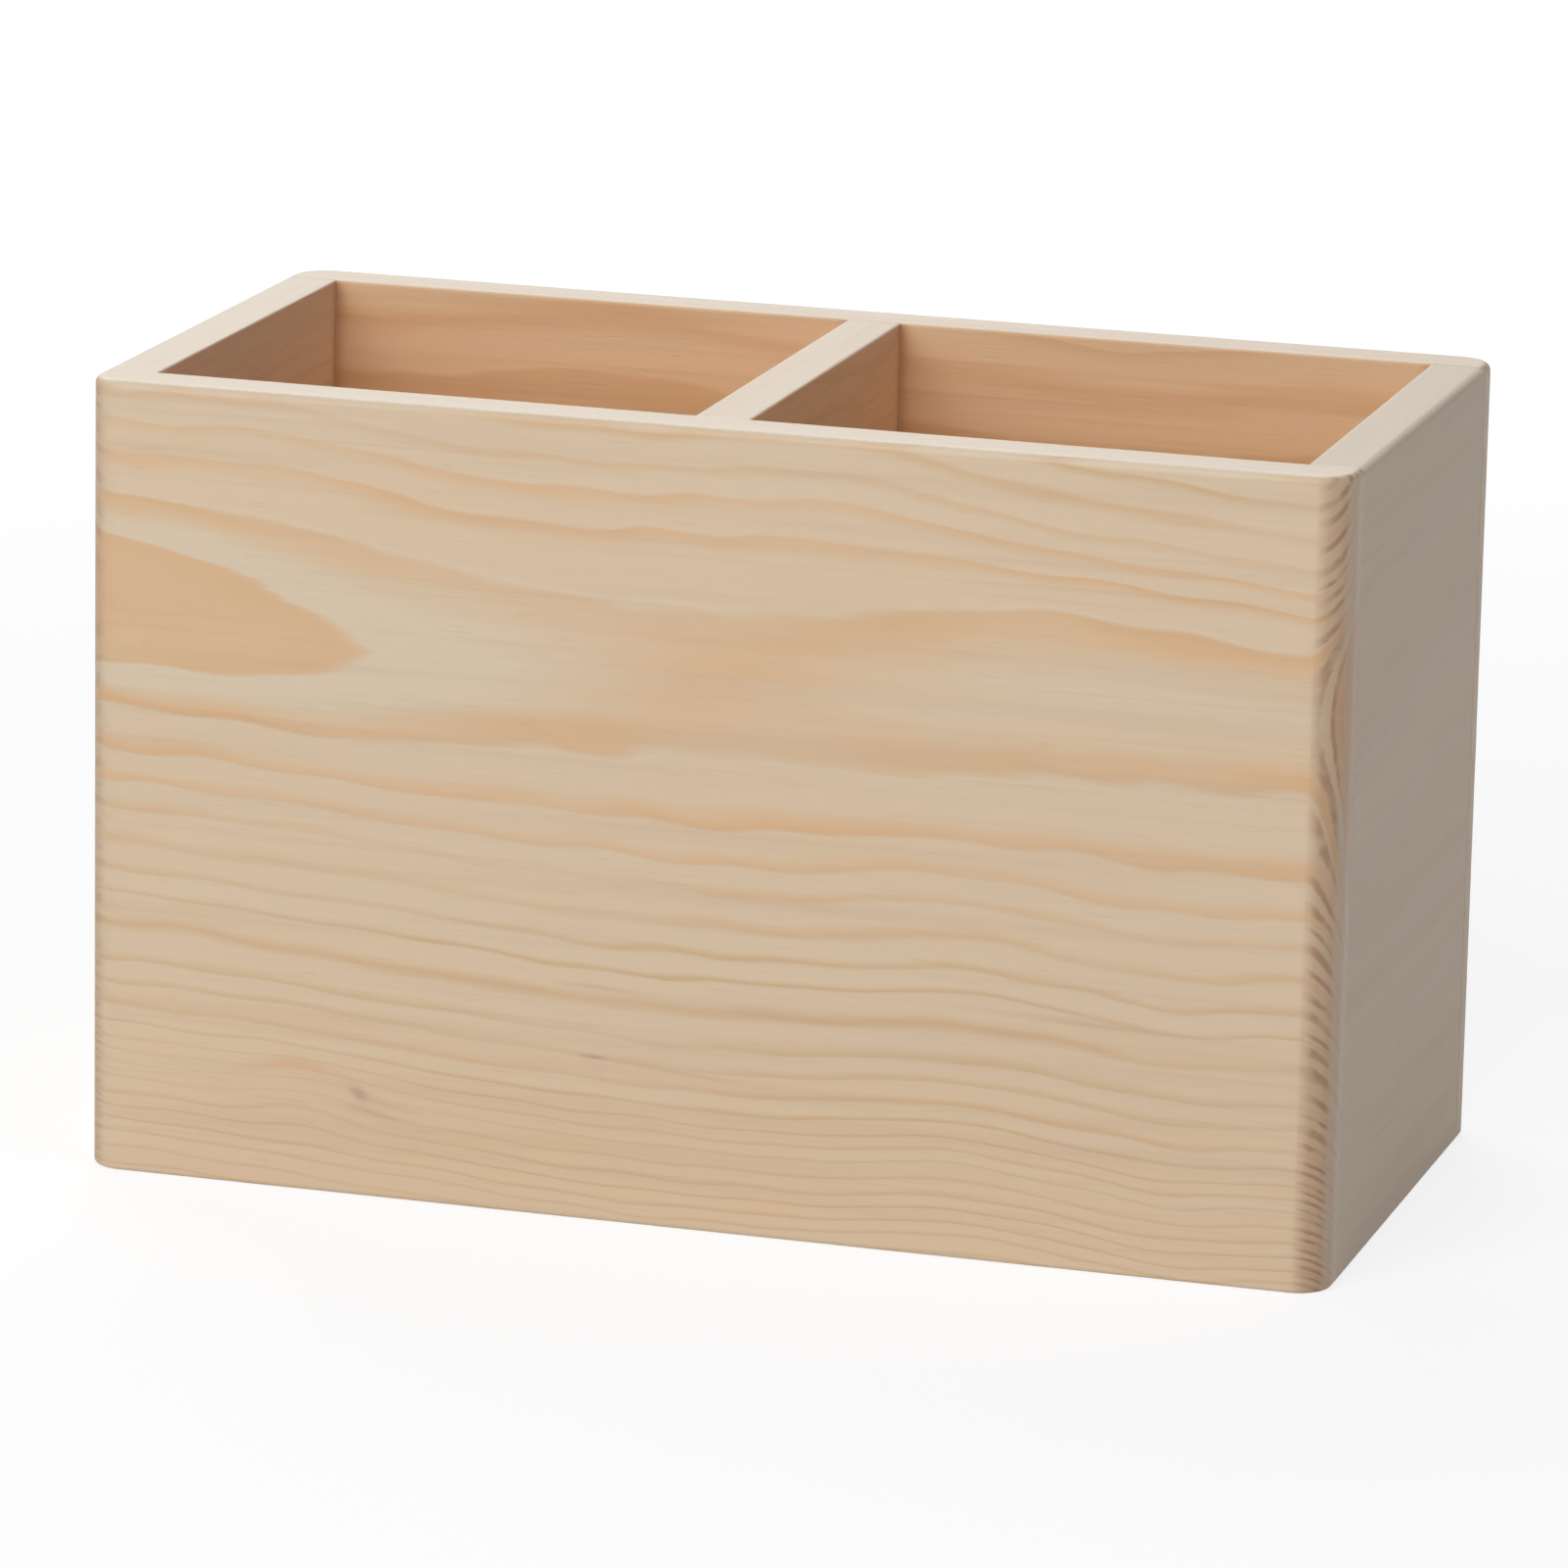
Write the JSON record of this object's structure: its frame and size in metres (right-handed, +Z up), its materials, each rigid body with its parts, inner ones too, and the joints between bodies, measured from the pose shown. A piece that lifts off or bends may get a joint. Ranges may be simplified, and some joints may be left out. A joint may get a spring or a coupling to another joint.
{
  "type": "pen holder",
  "caption": "Upright open-topped pine box with rounded corners and a fixed cross divider, holding pens and small tools on a desk.",
  "frame": {"origin": "middle of the footprint, on the surface that the box stands on", "axes": "+X along the length towards the right end, +Y from the front board to the back board, +Z up"},
  "size_m": [0.16, 0.08, 0.101],
  "materials": {
    "front_pine": "matte",
    "back_pine": "matte",
    "left_end_pine": "matte",
    "right_end_pine": "matte",
    "divider_pine": "matte",
    "bottom_pine": "matte",
    "dowel_beech": "matte"
  },
  "bodies": {
    "root": {"front_board": "front_pine", "back_board": "back_pine", "left_end_board": "left_end_pine", "right_end_board": "right_end_pine", "divider": "divider_pine", "bottom_panel": "bottom_pine", "dowels_front_left": "dowel_beech", "dowels_front_right": "dowel_beech", "dowels_back_left": "dowel_beech", "dowels_back_right": "dowel_beech", "dowels_divider_front": "dowel_beech", "dowels_divider_back": "dowel_beech"}
  },
  "joints": []
}
